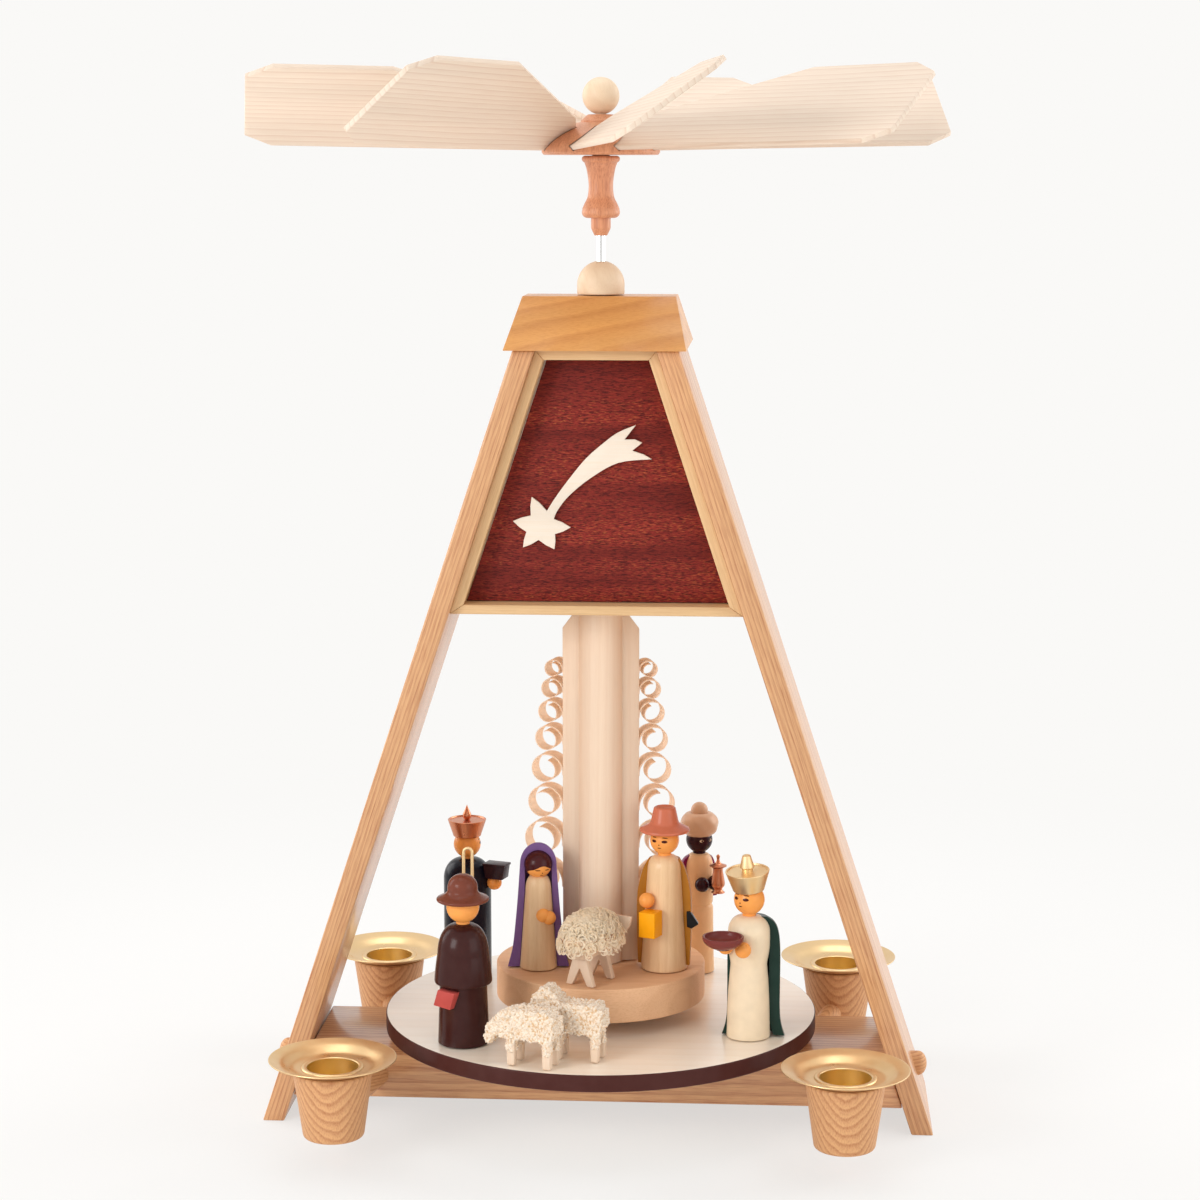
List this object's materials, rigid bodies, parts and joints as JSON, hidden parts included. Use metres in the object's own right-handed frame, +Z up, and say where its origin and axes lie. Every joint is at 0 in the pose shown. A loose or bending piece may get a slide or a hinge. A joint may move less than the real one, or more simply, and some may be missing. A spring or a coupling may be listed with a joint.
{
  "type": "christmas pyramid",
  "caption": "Wooden christmas pyramid: leaning board legs, roofed box with comet, curl-tree column, nativity turntable on a shaft driven by a pitched wing wheel above candle cups.",
  "frame": {"origin": "on the table, under the axis of the wing wheel", "axes": "+Z up along the shaft, +X to the right and +Y to the back, seen from the side with the comet"},
  "size_m": [0.2344, 0.2344, 0.358],
  "materials": {
    "oiled_ash": "oiled, satin",
    "oiled_alder": "oiled, satin",
    "turned_beech": "oiled, satin",
    "pale_maple": "oiled, satin",
    "pale_lime": "oiled, satin",
    "spruce_blade": "raw, matt",
    "stained_panel": "stained, matt",
    "cream_paint": "painted, satin",
    "white_flock": "flocked, matt",
    "straw": "wood wool, matt",
    "purple_paint": "painted, satin",
    "terracotta_paint": "painted, gloss",
    "brown_paint": "painted, gloss",
    "navy_paint": "painted, gloss",
    "amber_paint": "painted, satin",
    "red_brown_paint": "painted, gloss",
    "copper_paint": "metallic paint",
    "gold_paint": "metallic paint",
    "brass": "polished",
    "steel": "bright drawn"
  },
  "bodies": {
    "stand": {"left_leg": "oiled_ash", "right_leg": "oiled_ash", "base_beam": "oiled_ash", "left_leg_dowel": "oiled_ash", "right_leg_dowel": "oiled_ash", "panel_frame": "pale_maple", "back_panel": "stained_panel", "comet": "cream_paint", "roof_cap": "oiled_alder", "bearing_dome": "pale_lime", "column": "pale_maple", "plinth": "oiled_ash", "left_curl_lath": "pale_maple", "right_curl_lath": "pale_maple", "foot_bearing": "brass", "mother_figure": "pale_maple", "mother_cape": "purple_paint", "father_figure": "pale_maple", "father_hat": "terracotta_paint", "father_lantern": "amber_paint", "manger": "pale_maple", "manger_straw": "straw", "front_left_cup": "oiled_ash", "front_left_arm": "oiled_ash", "front_left_tray": "brass", "front_right_cup": "oiled_ash", "front_right_arm": "oiled_ash", "front_right_tray": "brass", "rear_left_cup": "oiled_ash", "rear_left_arm": "oiled_ash", "rear_left_tray": "brass", "rear_right_cup": "oiled_ash", "rear_right_arm": "oiled_ash", "rear_right_tray": "brass"},
    "carousel": {"shaft": "steel", "turntable": "pale_lime", "wheel_socket": "turned_beech", "wheel_hub": "turned_beech", "finial_ball": "pale_lime", "shepherd_figure": "brown_paint", "shepherd_hat": "brown_paint", "shepherd_crook": "gold_paint", "blue_king_figure": "navy_paint", "blue_king_crown": "copper_paint", "turban_king_figure": "pale_maple", "turban_king_turban": "pale_maple", "turban_king_vessel": "copper_paint", "crowned_king_figure": "cream_paint", "crowned_king_crown": "gold_paint", "crowned_king_bowl": "red_brown_paint", "grazing_sheep": "white_flock", "standing_sheep": "white_flock", "blade_1": "spruce_blade", "blade_2": "spruce_blade", "blade_3": "spruce_blade", "blade_4": "spruce_blade", "blade_5": "spruce_blade", "blade_6": "spruce_blade", "blade_7": "spruce_blade", "blade_8": "spruce_blade"}
  },
  "joints": [
    {"name": "rotor_spin", "type": "hinge", "parent": "stand", "child": "carousel", "pos_m": [0, 0, 0.0162], "axis": [0, 0, 1], "continuous": true}
  ]
}
